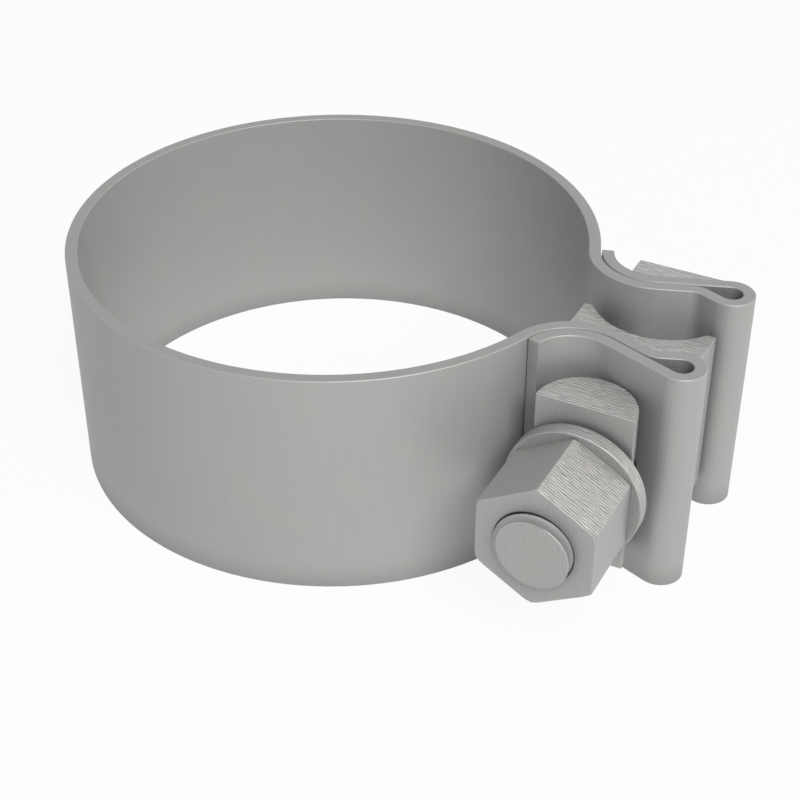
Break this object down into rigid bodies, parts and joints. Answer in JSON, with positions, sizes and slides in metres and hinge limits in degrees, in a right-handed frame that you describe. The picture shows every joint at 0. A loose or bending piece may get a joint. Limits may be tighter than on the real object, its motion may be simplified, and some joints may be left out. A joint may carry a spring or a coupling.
{
  "type": "exhaust band clamp",
  "caption": "Exhaust band clamp: a steel strip ring whose folded lugs are drawn together over a spacer block by a half-round-headed bolt, bar, washer and nut.",
  "frame": {"origin": "on the axis of the clamped pipe, at half the band's width", "axes": "+Z along the pipe, +X from the pipe axis out through the gap between the lugs, the nut on the -Y side"},
  "size_m": [0.0909, 0.0712, 0.0318],
  "materials": {
    "strip_steel": "satin rolled strip",
    "bolt_steel": "fine drawn and rolled",
    "bar_steel": "brushed",
    "washer_steel": "brushed",
    "nut_steel": "brushed"
  },
  "bodies": {
    "clamp": {"band": "strip_steel", "clamp_bolt": "bolt_steel", "half_round_bar": "bar_steel"},
    "spacer": {"spacer_block": "bar_steel"},
    "washer": {"washer": "washer_steel"},
    "nut": {"hex_nut": "nut_steel"}
  },
  "joints": [
    {"name": "spacer_slide", "type": "slide", "parent": "clamp", "child": "spacer", "axis": [0, 1, 0], "range_m": [-0.0005, 0.0005]},
    {"name": "washer_slide", "type": "slide", "parent": "clamp", "child": "washer", "axis": [0, -1, 0], "range_m": [-0.00065, 0.0111]},
    {"name": "nut_turn", "type": "hinge", "parent": "washer", "child": "nut", "pos_m": [0.04313, 0, 0], "axis": [0, -1, 0], "range_deg": [-156, 2664]}
  ],
  "couplings": [
    {"joint": "washer_slide", "follows": "nut_turn", "m_per_rad": 0.00023873}
  ]
}
